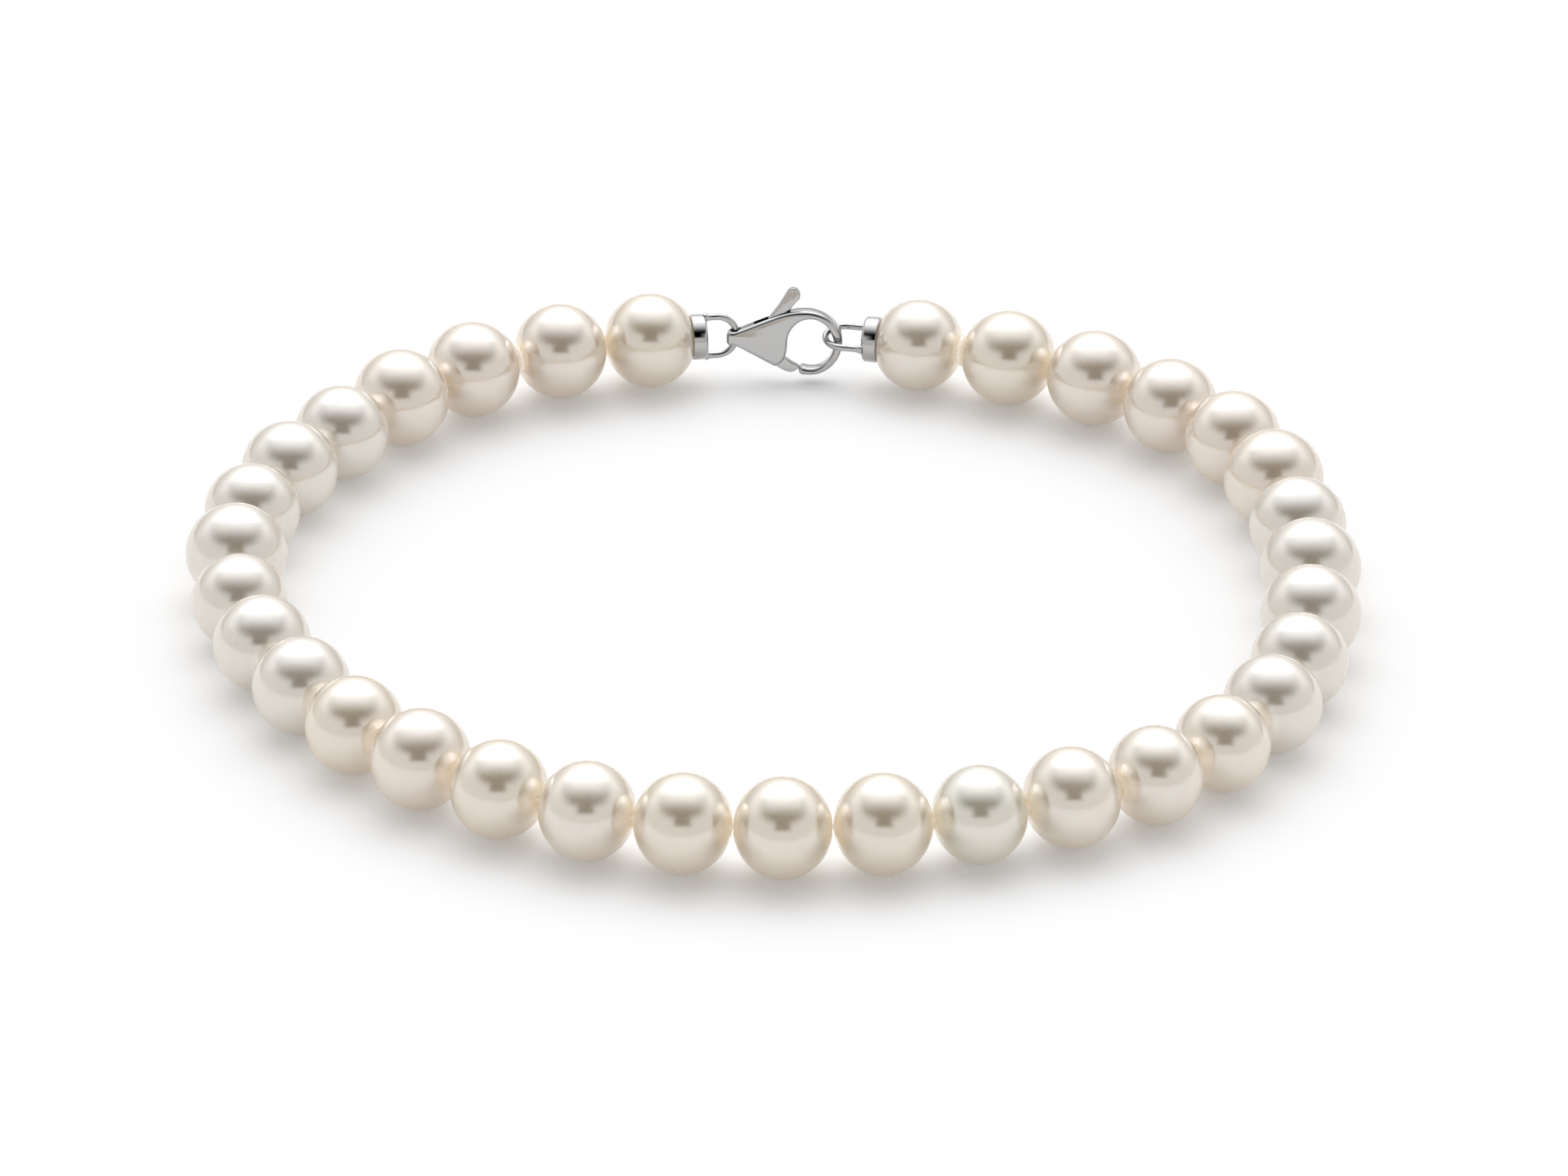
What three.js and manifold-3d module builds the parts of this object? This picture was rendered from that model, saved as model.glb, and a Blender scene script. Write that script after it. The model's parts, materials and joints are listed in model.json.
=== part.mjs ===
// Pearl bracelet, fastened and lying flat on a surface.
// Millimetres, +Z up. The clasp is at the back of the loop, towards +Y, and the surface is z = 0.
// Each pearl rests on the surface. The clasp hangs between its two end caps, clear of the surface.
import * as THREE from 'three';
import { mergeVertices } from 'three/addons/utils/BufferGeometryUtils.js';
import Module from 'manifold-3d';

const wasm = await Module();
wasm.setup();

// Pearls: mean sizes, and the shares of them that each pearl has
const PEARL_DIAMETER = 5.3;
const PEARL_LENGTH = 5.12;
const PEARL_BORE = 0.9;
const PEARL_SIDES = 16;
const PEARL_GAP = 0.03;

// One row for each pearl, from the left of the clasp round the front to the right of the clasp.
// across is a share of PEARL_DIAMETER, along (on the string) a share of PEARL_LENGTH.
const PEARLS = [
  { across: 0.993, along: 1.004, tint: 0xd9d1c8 },
  { across: 0.996, along: 1.009, tint: 0xd8d0c6 },
  { across: 1.003, along: 1.010, tint: 0xdbd3c8 },
  { across: 1.015, along: 1.016, tint: 0xd6cfc5 },
  { across: 0.988, along: 0.990, tint: 0xd8cfc7 },
  { across: 1.005, along: 1.003, tint: 0xd5cdc2 },
  { across: 0.986, along: 0.979, tint: 0xd9d2c9 },
  { across: 1.037, along: 1.030, tint: 0xd7cec5 },
  { across: 0.974, along: 0.968, tint: 0xd8d1c7 },
  { across: 0.994, along: 0.999, tint: 0xd6cec4 },
  { across: 0.997, along: 1.010, tint: 0xd9d0c8 },
  { across: 0.991, along: 1.000, tint: 0xd7d0c6 },
  { across: 1.017, along: 1.024, tint: 0xdad2c8 },
  { across: 0.991, along: 0.997, tint: 0xd6cdc4 },
  { across: 0.994, along: 0.998, tint: 0xd8d0c7 },
  { across: 1.007, along: 1.007, tint: 0xd9d1c6 },
  { across: 1.014, along: 1.013, tint: 0xd7cfc6 },
  { across: 1.014, along: 1.012, tint: 0xd5cec4 },
  { across: 0.980, along: 0.978, tint: 0xd8d0c5 },
  { across: 1.012, along: 0.996, tint: 0xdad3c9 },
  { across: 0.995, along: 0.969, tint: 0xd7cfc5 },
  { across: 0.983, along: 0.964, tint: 0xd6cec5 },
  { across: 1.006, along: 0.991, tint: 0xd9d1c8 },
  { across: 0.991, along: 0.975, tint: 0xd8cfc6 },
  { across: 1.023, along: 1.006, tint: 0xd7d0c7 },
  { across: 1.033, along: 1.018, tint: 0xd9d2c7 },
  { across: 0.996, along: 0.988, tint: 0xd6cfc4 },
  { across: 1.037, along: 1.035, tint: 0xd8d0c8 },
  { across: 1.006, along: 1.014, tint: 0xd7cec4 },
  { across: 0.987, along: 1.016, tint: 0xdad1c8 },
  { across: 0.997, along: 1.036, tint: 0xd6cfc6 },
  { across: 0.997, along: 1.029, tint: 0xd8d0c6 },
  { across: 0.964, along: 0.981, tint: 0xd9d1c7 },
];

// Route of the string: points chosen round the loop. bearing is in degrees from +X,
// reach a share of the loop's radius, which follows from the pearls and the clasp.
const ROUTE = [
  { bearing: 104.0, reach: 0.988 },
  { bearing: 124.7, reach: 1.016 },
  { bearing: 145.1, reach: 1.003 },
  { bearing: 165.2, reach: 1.014 },
  { bearing: 185.6, reach: 0.995 },
  { bearing: 206.2, reach: 0.964 },
  { bearing: 227.8, reach: 0.952 },
  { bearing: 249.4, reach: 0.954 },
  { bearing: 270.9, reach: 0.959 },
  { bearing: 292.1, reach: 0.978 },
  { bearing: 312.0, reach: 1.029 },
  { bearing: 331.0, reach: 1.039 },
  { bearing: 350.7, reach: 1.008 },
  { bearing: 371.2, reach: 1.005 },
  { bearing: 391.7, reach: 1.031 },
  { bearing: 412.0, reach: 1.010 },
  { bearing: 433.1, reach: 0.984 },
  { bearing: 448.6, reach: 0.985 },
];

// Silk thread, and the two knots that sit between pearls near the ends
const THREAD_DIAMETER = 0.3;
const THREAD_SIDES = 8;
const THREAD_STEPS = 70;
const KNOT_DIAMETER = 2.2;
const KNOT_SHOULDER = 0.9;
const KNOT_GAP = 0.16;
const KNOT_CLEARANCE = 0.045;
const KNOT_AFTER_PEARL = [2, 32];

// End caps: a cup on the end pearl with a wire loop soldered to its closed end
const CAP_DIAMETER = 2.56;
const CAP_RIM = 0.08;
const CAP_FLOOR = 0.5;
const CAP_ROUND = 0.18;
const CAP_SIDES = 16;
const CAP_SEAT_GAP = 0.07;
const CAP_LIFT = 0.05;
const CAP_THREAD_CLEARANCE = 0.08;
const CAP_TURN = 9.5;
const WIRE_DIAMETER = 0.38;
const WIRE_SIDES = 6;
const LOOP_WIDTH = 2.6;
const LOOP_REACH_LEFT = 1.92;
const LOOP_REACH_RIGHT = 2.4;
const LOOP_TILT_RIGHT = 6;
const LOOP_STEPS = 24;

// Lobster claw: reach from the eye's bore to the far side of the ring, and height of the ring
const CLAW_REACH = 6.02;
const CLAW_HEIGHT = 3.72;
const CLAW_THICKNESS = 1.06;
const CLAW_EDGE = 0.12;
const CLAW_LEAN = 10;
const CLAW_DROP = 0.14;
const EYE_HEIGHT = 0.8;
const EYE_WALL = 0.17;
const EYE_CLEARANCE = 0.05;
const RING_WIDTH = 0.51;
const RING_SLACK = 0.27;

// Spring lever with thumb tab and gate, turning on a rivet between the cheeks
const LEVER_THICKNESS = 0.44;
const LEVER_SIDE_GAP = 0.04;
const RIVET_DIAMETER = 0.44;
const RIVET_CLEARANCE = 0.04;
const RIVET_EMBED = 0.1;
const LEVER_EYE_DIAMETER = 0.9;
const LEVER_EYE_GAP = 0.1;
const TAB_RADIUS = 0.41;
const ROUND_SIDES = 16;

// How often an interval is halved when a length is solved for
const HALVINGS = 30;

const PEARL_FINISH = { roughness: 0.25, metalness: 0.0 };
const WHITE_METAL = { color: 0xcfcfcf, roughness: 0.12, metalness: 1.0 };
const SILK = { color: 0xf3f1ec, roughness: 0.8, metalness: 0.0 };

const UP = new THREE.Vector3(0, 0, 1);
const radians = THREE.MathUtils.degToRad;

// A geometry's closed mesh, with shared corners merged, as a solid for joining and cutting.
function solidOf(geometry) {
  const bare = geometry.index ? geometry.toNonIndexed() : geometry.clone();
  bare.deleteAttribute('normal');
  bare.deleteAttribute('uv');
  const merged = mergeVertices(bare, 1e-4);
  return new wasm.Manifold(new wasm.Mesh({
    numProp: 3,
    vertProperties: new Float32Array(merged.attributes.position.array),
    triVerts: new Uint32Array(merged.index.array),
  }));
}

function geometryOf(solid) {
  const mesh = solid.getMesh();
  const geometry = new THREE.BufferGeometry();
  geometry.setAttribute('position', new THREE.BufferAttribute(mesh.vertProperties, 3));
  geometry.setIndex(new THREE.BufferAttribute(mesh.triVerts, 1));
  geometry.computeVertexNormals();
  return geometry;
}

function piece(name, geometry, finish) {
  const mesh = new THREE.Mesh(geometry, new THREE.MeshStandardMaterial(finish));
  mesh.name = name;
  return mesh;
}

// A regular polygon of corners on a circle, as the section of a thread or wire.
function roundSection(diameter, sides) {
  const corners = [];
  for (let side = 0; side < sides; side += 1) {
    const angle = (side / sides) * 2 * Math.PI;
    corners.push(new THREE.Vector2(Math.cos(angle), Math.sin(angle)).multiplyScalar(diameter / 2));
  }
  return new THREE.Shape(corners);
}

function rod(diameter, length, sides = ROUND_SIDES) {
  return new THREE.CylinderGeometry(diameter / 2, diameter / 2, length, sides);
}

// How far a pearl's surface lies behind its pole, at a distance out from the string.
function poleDrop(pearl, out) {
  const half = pearl.length / 2;
  return half - half * Math.sqrt(1 - (out / (pearl.diameter / 2)) ** 2);
}

// Stringing: each pearl is set along the route at contact distance from the one before
const pearls = PEARLS.map((row) => ({
  diameter: row.across * PEARL_DIAMETER,
  length: row.along * PEARL_LENGTH,
  tint: row.tint,
}));

function gapAfter(number) {
  return KNOT_AFTER_PEARL.includes(number) ? KNOT_GAP : PEARL_GAP;
}

function layString(loopRadius) {
  const points = ROUTE.map(({ bearing, reach }) => {
    const angle = radians(bearing);
    return new THREE.Vector3(Math.cos(angle), Math.sin(angle), 0).multiplyScalar(reach * loopRadius);
  });
  const route = new THREE.CatmullRomCurve3(points, true);
  const centres = [route.getPoint(0)];
  let at = 0;
  for (let number = 1; number < pearls.length; number += 1) {
    const last = centres[number - 1];
    const spacing = (pearls[number - 1].length + pearls[number].length) / 2 + gapAfter(number);
    let near = at;
    let far = at + 2 / ROUTE.length;
    for (let halving = 0; halving < HALVINGS; halving += 1) {
      const middle = (near + far) / 2;
      if (route.getPoint(middle % 1).distanceTo(last) < spacing) {
        near = middle;
      } else {
        far = middle;
      }
    }
    at = far;
    centres.push(route.getPoint(at % 1));
  }
  return centres;
}

// The two end caps, seen from above: where each cap's closed end comes, and the point where
// the clasp holds its loop. That is the wire's middle at the left loop's tip, and the middle
// of the ring's band inside the right loop.
function endOf(centres, side) {
  const first = centres[0];
  const last = centres[centres.length - 1];
  const chord = last.clone().sub(first).normalize();
  const isLeft = side === 'left';
  const pearl = isLeft ? pearls[0] : pearls[pearls.length - 1];
  const outward = isLeft ? chord : chord.negate();
  outward.applyAxisAngle(UP, radians(isLeft ? CAP_TURN : -CAP_TURN));
  const reach = isLeft ? LOOP_REACH_LEFT : LOOP_REACH_RIGHT;
  const pole = pearl.length / 2 + CAP_SEAT_GAP;
  const tip = pole + CAP_FLOOR + reach - WIRE_DIAMETER / 2;
  const hold = isLeft ? tip : tip - WIRE_DIAMETER / 2 - RING_SLACK - RING_WIDTH / 2;
  const from = isLeft ? first : last;
  return {
    pearl,
    outward,
    reach,
    pole: from.clone().addScaledVector(outward, pole),
    hold: from.clone().addScaledVector(outward, hold),
  };
}

// The left loop's arc passes through the eye, which hangs a little below the loop's middle.
// The arc bows by eyeBow between its tip and the eye's lower mouth.
const loopArcRadius = (LOOP_WIDTH - WIRE_DIAMETER) / 2;
const eyeBow = loopArcRadius - Math.sqrt(loopArcRadius ** 2 - (EYE_HEIGHT / 2 + CLAW_DROP) ** 2);
const eyeBore = WIRE_DIAMETER + eyeBow + 2 * EYE_CLEARANCE;
const leftTipAlong = eyeBow / 2;

// The loop's radius is the one at which the fastened clasp just closes the string.
function closedLoop() {
  const grip = CLAW_REACH - RING_WIDTH / 2 - leftTipAlong;
  const stringLength = pearls.reduce((sum, pearl) => sum + pearl.length, 0);
  let small = stringLength / (2 * Math.PI);
  let large = stringLength / Math.PI;
  for (let halving = 0; halving < HALVINGS; halving += 1) {
    const radius = (small + large) / 2;
    const centres = layString(radius);
    const between = endOf(centres, 'left').hold.distanceTo(endOf(centres, 'right').hold);
    if (between < grip) {
      small = radius;
    } else {
      large = radius;
    }
  }
  return layString(large);
}

const centres = closedLoop();
const leftEnd = endOf(centres, 'left');
const rightEnd = endOf(centres, 'right');
const claspLevel = (leftEnd.pearl.diameter + rightEnd.pearl.diameter) / 4 + CAP_LIFT;
centres.forEach((centre, index) => centre.setZ(pearls[index].diameter / 2));
[leftEnd.pole, leftEnd.hold, rightEnd.pole, rightEnd.hold].forEach((point) => point.setZ(claspLevel));

// Pearl: a bored ball, a little shorter along the string, with one corner row straight down
function pearlGeometry(pearl) {
  const mouth = Math.asin(PEARL_BORE / pearl.diameter);
  const rows = PEARL_SIDES / 2;
  const profile = [];
  for (let row = 0; row <= rows; row += 1) {
    const even = Math.PI * (1 - row / rows);
    const angle = THREE.MathUtils.clamp(even, mouth, Math.PI - mouth);
    profile.push(new THREE.Vector2(
      (pearl.diameter / 2) * Math.sin(angle),
      (pearl.length / 2) * Math.cos(angle),
    ));
  }
  profile.push(profile[0].clone());
  return new THREE.LatheGeometry(profile, PEARL_SIDES);
}

function pearlMesh(pearl, index) {
  const before = index > 0 ? centres[index - 1] : leftEnd.hold;
  const after = index < pearls.length - 1 ? centres[index + 1] : rightEnd.hold;
  const along = after.clone().sub(before).setZ(0).normalize();
  const number = String(index + 1).padStart(2, '0');
  const mesh = piece(`pearl_${number}`, pearlGeometry(pearl), { ...PEARL_FINISH, color: pearl.tint });
  const across = along.clone().cross(UP);
  mesh.quaternion.setFromRotationMatrix(new THREE.Matrix4().makeBasis(across, along, UP));
  mesh.position.copy(centres[index]);
  return mesh;
}

// Thread: one smooth run from cap to cap through every bore, fused with its knots
function knotSolid(before) {
  const [near, far] = [centres[before - 1], centres[before]];
  const pearl = pearls[before - 1];
  const outer = KNOT_DIAMETER / 2;
  const outs = [THREAD_DIAMETER / 4, PEARL_BORE / 2, KNOT_SHOULDER * outer];
  const halfWidth = (out) => KNOT_GAP / 2 - KNOT_CLEARANCE + poleDrop(pearl, out);
  const profile = [
    ...outs.map((out) => new THREE.Vector2(out, -halfWidth(out))),
    new THREE.Vector2(outer, 0),
    ...outs.map((out) => new THREE.Vector2(out, halfWidth(out))).reverse(),
  ];
  profile.push(profile[0].clone());
  const geometry = new THREE.LatheGeometry(profile, PEARL_SIDES);
  const along = far.clone().sub(near).normalize();
  geometry.applyQuaternion(new THREE.Quaternion().setFromUnitVectors(new THREE.Vector3(0, 1, 0), along));
  const middle = near.clone().lerp(far, pearl.length / (pearl.length + pearls[before].length));
  geometry.translate(middle.x, middle.y, middle.z);
  return solidOf(geometry);
}

function threadMesh() {
  const intoCap = CAP_FLOOR / 2;
  const route = new THREE.CatmullRomCurve3([
    leftEnd.pole.clone().addScaledVector(leftEnd.outward, intoCap),
    ...centres,
    rightEnd.pole.clone().addScaledVector(rightEnd.outward, intoCap),
  ]);
  const run = new THREE.ExtrudeGeometry(roundSection(THREAD_DIAMETER, THREAD_SIDES), {
    steps: THREAD_STEPS,
    extrudePath: route,
  });
  const solid = KNOT_AFTER_PEARL.reduce((whole, number) => whole.add(knotSolid(number)), solidOf(run));
  return piece('thread', geometryOf(solid), SILK);
}

// Loop of an end cap: two straight legs and a half round, drawn in the cap's own frame,
// where Y runs out from the pearl and the legs stand apart along X.
class LoopPath extends THREE.Curve {
  constructor(reach) {
    super();
    this.straight = reach - LOOP_WIDTH / 2;
    this.embed = CAP_FLOOR / 2;
  }

  getPoint(share, target = new THREE.Vector3()) {
    const leg = this.straight + this.embed;
    const arc = Math.PI * loopArcRadius;
    const gone = share * (2 * leg + arc);
    if (gone <= leg) {
      return target.set(loopArcRadius, gone - this.embed, 0);
    }
    if (gone <= leg + arc) {
      const angle = (gone - leg) / loopArcRadius;
      return target.set(loopArcRadius * Math.cos(angle), this.straight + loopArcRadius * Math.sin(angle), 0);
    }
    return target.set(-loopArcRadius, this.straight - (gone - leg - arc), 0);
  }
}

// Cup in the same frame, with y = 0 at the pearl's pole: hollow to the pearl, a blind hole
// for the thread's end, and a rounded closed end.
function cupGeometry(pearl) {
  const outer = CAP_DIAMETER / 2;
  const hole = THREAD_DIAMETER / 2 + CAP_THREAD_CLEARANCE;
  const holeEnd = CAP_FLOOR / 2 + CAP_THREAD_CLEARANCE;
  const rimInner = outer - CAP_RIM;
  const cornerCut = CAP_ROUND * (1 - Math.SQRT1_2);
  const seat = (out) => new THREE.Vector2(out, -poleDrop(pearl, out));
  const profile = [
    new THREE.Vector2(0, holeEnd),
    new THREE.Vector2(hole, holeEnd),
    seat(hole),
    seat((hole + rimInner) / 2),
    seat(rimInner),
    new THREE.Vector2(outer, -poleDrop(pearl, rimInner)),
    new THREE.Vector2(outer, CAP_FLOOR - CAP_ROUND),
    new THREE.Vector2(outer - cornerCut, CAP_FLOOR - cornerCut),
    new THREE.Vector2(outer - CAP_ROUND, CAP_FLOOR),
    new THREE.Vector2(0, CAP_FLOOR),
  ];
  return new THREE.LatheGeometry(profile, CAP_SIDES);
}

function endCapMesh(name, end, legsApart) {
  const wire = new THREE.ExtrudeGeometry(roundSection(WIRE_DIAMETER, WIRE_SIDES), {
    steps: LOOP_STEPS,
    extrudePath: new LoopPath(end.reach),
  });
  wire.translate(0, CAP_FLOOR, 0);
  const solid = solidOf(cupGeometry(end.pearl)).add(solidOf(wire));
  const mesh = piece(name, geometryOf(solid), WHITE_METAL);
  const apart = legsApart.clone().addScaledVector(end.outward, -legsApart.dot(end.outward)).normalize();
  const third = apart.clone().cross(end.outward);
  mesh.quaternion.setFromRotationMatrix(new THREE.Matrix4().makeBasis(apart, end.outward, third));
  mesh.position.copy(end.pole);
  return mesh;
}

// The claw's own frame: x runs from the eye to the ring, y up the face, z out of the face.
// A point on its outlines is given in shares of the claw's reach and height.
function at(along, up) {
  return [along * CLAW_REACH, up * CLAW_HEIGHT];
}

const RIVET_AT = new THREE.Vector2(...at(0.322, -0.196));
const MOUTH = { along: 0.701, up: -0.061, halfUp: 0.383, fromBearing: -102, toBearing: 190 };
const mouthHalfAlong = CLAW_REACH - RING_WIDTH - MOUTH.along * CLAW_REACH;

function clawOutline() {
  const eyeHalf = EYE_HEIGHT / 2;
  const eyeEnd = -(eyeBore / 2 + EYE_WALL);
  const [topX, topY] = at(0.653, 0.452);
  const [sideX, sideY] = at(1, -0.026);
  const [bottomX, bottomY] = at(0.694, -0.548);
  const [mouthX, mouthY] = at(MOUTH.along, MOUTH.up);
  const shape = new THREE.Shape();
  shape.moveTo(eyeEnd, -eyeHalf + CLAW_EDGE);
  shape.lineTo(eyeEnd, eyeHalf - CLAW_EDGE);
  shape.lineTo(eyeEnd + CLAW_EDGE, eyeHalf);
  shape.lineTo(0, eyeHalf);
  shape.lineTo(...at(0.377, 0.360));
  shape.quadraticCurveTo(...at(0.516, 0.452), topX, topY);
  shape.absellipse(topX, sideY, sideX - topX, topY - sideY, Math.PI / 2, 0, true);
  shape.absellipse(bottomX, sideY, sideX - bottomX, sideY - bottomY, 0, -Math.PI / 2, true);
  shape.lineTo(...at(0.640, -0.545));
  shape.lineTo(...at(0.602, -0.520));
  shape.lineTo(...at(0.626, -0.447));
  const upper = MOUTH.halfUp * CLAW_HEIGHT;
  const [from, to] = [radians(MOUTH.fromBearing), radians(MOUTH.toBearing)];
  shape.absellipse(mouthX, mouthY, mouthHalfAlong, upper, from, to, false);
  shape.lineTo(...at(0.473, -0.235));
  shape.quadraticCurveTo(...at(0.455, -0.371), ...at(0.370, -0.423));
  shape.lineTo(0, -eyeHalf);
  shape.lineTo(eyeEnd + CLAW_EDGE, -eyeHalf);
  return shape;
}

// The slot between the cheeks, from where the tab comes out to the gate's side.
function slotOutline() {
  return new THREE.Shape([
    at(0.160, 0.440),
    at(0.160, 0.330),
    at(0.228, -0.235),
    at(0.289, -0.339),
    at(0.322, -0.520),
    at(0.560, -0.560),
    at(0.560, -0.250),
    at(0.488, -0.144),
    at(0.421, -0.026),
    at(0.463, 0.196),
    at(0.524, 0.490),
  ].map(([x, y]) => new THREE.Vector2(x, y)));
}

function leverOutline() {
  const [tabX, tabY] = at(0.536, 0.682);
  const shape = new THREE.Shape();
  shape.moveTo(...at(0.311, 0.331));
  shape.lineTo(...at(0.401, 0.524));
  shape.absarc(tabX, tabY, TAB_RADIUS, radians(160), radians(-20), true);
  shape.quadraticCurveTo(...at(0.590, 0.527), ...at(0.510, 0.454));
  shape.lineTo(...at(0.482, 0.420));
  shape.lineTo(...at(0.440, 0.235));
  shape.lineTo(...at(0.400, 0));
  shape.lineTo(...at(0.405, -0.157));
  shape.lineTo(...at(0.461, -0.321));
  shape.lineTo(...at(0.575, -0.405));
  shape.lineTo(...at(0.602, -0.446));
  shape.lineTo(...at(0.570, -0.488));
  shape.quadraticCurveTo(...at(0.544, -0.527), ...at(0.504, -0.522));
  shape.lineTo(...at(0.463, -0.504));
  shape.lineTo(...at(0.390, -0.441));
  const from = radians(-120);
  shape.absarc(RIVET_AT.x, RIVET_AT.y, LEVER_EYE_DIAMETER / 2, from, radians(-195), true);
  return shape;
}

function clawSolid() {
  const blank = new THREE.ExtrudeGeometry(clawOutline(), {
    depth: CLAW_THICKNESS - 2 * CLAW_EDGE,
    bevelThickness: CLAW_EDGE,
    bevelSize: CLAW_EDGE,
    bevelOffset: -CLAW_EDGE,
    bevelSegments: 1,
    curveSegments: 8,
  });
  blank.translate(0, 0, CLAW_EDGE - CLAW_THICKNESS / 2);
  const slotWidth = LEVER_THICKNESS + 2 * LEVER_SIDE_GAP;
  const slot = new THREE.ExtrudeGeometry(slotOutline(), { depth: slotWidth, bevelEnabled: false });
  slot.translate(0, 0, -slotWidth / 2);
  const eyeRoom = rod(LEVER_EYE_DIAMETER + 2 * LEVER_EYE_GAP, slotWidth);
  eyeRoom.rotateX(Math.PI / 2).translate(RIVET_AT.x, RIVET_AT.y, 0);
  const rivet = rod(RIVET_DIAMETER, slotWidth + 2 * RIVET_EMBED);
  rivet.rotateX(Math.PI / 2).translate(RIVET_AT.x, RIVET_AT.y, 0);
  return solidOf(blank)
    .subtract(solidOf(slot))
    .subtract(solidOf(eyeRoom))
    .subtract(solidOf(rod(eyeBore, 2 * EYE_HEIGHT)))
    .add(solidOf(rivet));
}

function leverSolid() {
  const plate = new THREE.ExtrudeGeometry(leverOutline(), {
    depth: LEVER_THICKNESS,
    bevelEnabled: false,
    curveSegments: 8,
  });
  plate.translate(0, 0, -LEVER_THICKNESS / 2);
  const bore = rod(RIVET_DIAMETER + 2 * RIVET_CLEARANCE, 2 * LEVER_THICKNESS);
  bore.rotateX(Math.PI / 2).translate(RIVET_AT.x, RIVET_AT.y, 0);
  return solidOf(plate).subtract(solidOf(bore));
}

// The clasp runs from where it holds the left loop to the right one, and leans back.
function clasp() {
  const along = rightEnd.hold.clone().sub(leftEnd.hold).normalize();
  const faceUp = UP.clone().applyAxisAngle(along, radians(-CLAW_LEAN));
  const group = new THREE.Group();
  group.add(piece('clasp_body', geometryOf(clawSolid()), WHITE_METAL));
  group.add(piece('clasp_lever', geometryOf(leverSolid()), WHITE_METAL));
  const out = along.clone().cross(faceUp);
  group.quaternion.setFromRotationMatrix(new THREE.Matrix4().makeBasis(along, faceUp, out));
  group.position.copy(leftEnd.hold)
    .addScaledVector(along, -leftTipAlong)
    .addScaledVector(faceUp, -CLAW_DROP);
  return { group, along, faceUp };
}

const { group: claspGroup, along: claspAlong, faceUp: claspUp } = clasp();
const level = claspAlong.clone().cross(UP);
const rightLegsApart = level.applyAxisAngle(claspAlong, radians(LOOP_TILT_RIGHT));

// The whole bracelet, set so that the origin is under the middle of its box
const bracelet = new THREE.Group();
pearls.forEach((pearl, index) => bracelet.add(pearlMesh(pearl, index)));
bracelet.add(threadMesh());
bracelet.add(endCapMesh('end_cap_left', leftEnd, claspUp));
bracelet.add(endCapMesh('end_cap_right', rightEnd, rightLegsApart));
bracelet.add(claspGroup);

bracelet.updateMatrixWorld(true);
const middle = new THREE.Box3().setFromObject(bracelet, true).getCenter(new THREE.Vector3());
bracelet.position.set(-middle.x, -middle.y, 0);

export default bracelet;
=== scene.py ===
# %% [markdown]
# A fastened pearl bracelet lies on a white table. Every place and size comes from the packed
# model, which is loaded first. Blender then gives each plain solid its smooth form and finish.

# %% Load the frame
import json
import math

import bpy
import bmesh
from mathutils import Matrix, Vector


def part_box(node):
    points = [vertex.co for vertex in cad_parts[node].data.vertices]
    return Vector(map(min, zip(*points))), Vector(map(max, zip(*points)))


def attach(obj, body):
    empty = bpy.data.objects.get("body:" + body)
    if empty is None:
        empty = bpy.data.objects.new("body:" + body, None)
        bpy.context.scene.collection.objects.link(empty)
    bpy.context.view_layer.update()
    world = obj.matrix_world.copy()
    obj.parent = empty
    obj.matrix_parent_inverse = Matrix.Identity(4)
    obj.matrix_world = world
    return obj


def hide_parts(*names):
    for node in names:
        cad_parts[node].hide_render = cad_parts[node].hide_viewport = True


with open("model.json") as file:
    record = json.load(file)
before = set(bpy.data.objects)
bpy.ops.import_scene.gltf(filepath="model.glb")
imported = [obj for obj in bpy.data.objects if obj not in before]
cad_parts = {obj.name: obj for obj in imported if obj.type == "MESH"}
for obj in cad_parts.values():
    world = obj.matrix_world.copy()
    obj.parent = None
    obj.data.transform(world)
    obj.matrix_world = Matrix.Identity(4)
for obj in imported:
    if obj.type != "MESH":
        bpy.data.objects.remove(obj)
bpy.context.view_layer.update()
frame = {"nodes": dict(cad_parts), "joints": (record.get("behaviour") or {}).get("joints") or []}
MM = 0.001

# %% [markdown]
# Node trees make both the shapes and the finishes, so one small function adds a node. It
# sets the node's own choices by name, and fills each socket with a value or with a link. A
# node given as a value is linked by its first output.

# %% One helper for every node
def add_node(tree, kind, sockets=None, **choices):
    """Adds a node. choices are its properties, sockets its inputs in order or by name."""
    node = tree.nodes.new(kind)
    for name, value in choices.items():
        setattr(node, name, value)
    sockets = sockets or {}
    for key, value in (sockets.items() if isinstance(sockets, dict) else enumerate(sockets)):
        if isinstance(value, bpy.types.Node):
            value = value.outputs[0]
        if isinstance(value, bpy.types.NodeSocket):
            tree.links.new(value, node.inputs[key])
        else:
            node.inputs[key].default_value = value
    return node


def linear(hex_colour):
    """An sRGB colour such as "#D8D0C6" as the linear colour that shaders use."""
    shares = [int(hex_colour[place:place + 2], 16) / 255 for place in (1, 3, 5)]
    return [s / 12.92 if s <= 0.04045 else ((s + 0.055) / 1.055) ** 2.4 for s in shares] + [1.0]


# %% [markdown]
# ## The studio
# A small photo studio for jewellery is a white table inside white walls, with one large soft
# light above and a gap in the walls for the camera. Pearls and polished metal show this room
# more than they show themselves. So the room is drawn in the world's shader, as brightness by
# direction. Its soft edges then show in each pearl, and no light object is needed.

# %% Camera at the photograph's angle
LOOK_AT = Vector((0.595, -1.490, 2.65)) * MM
CAMERA_DISTANCE = 606.9 * MM
CAMERA_RISE = math.radians(28.37)
LENS = 259.5

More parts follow.
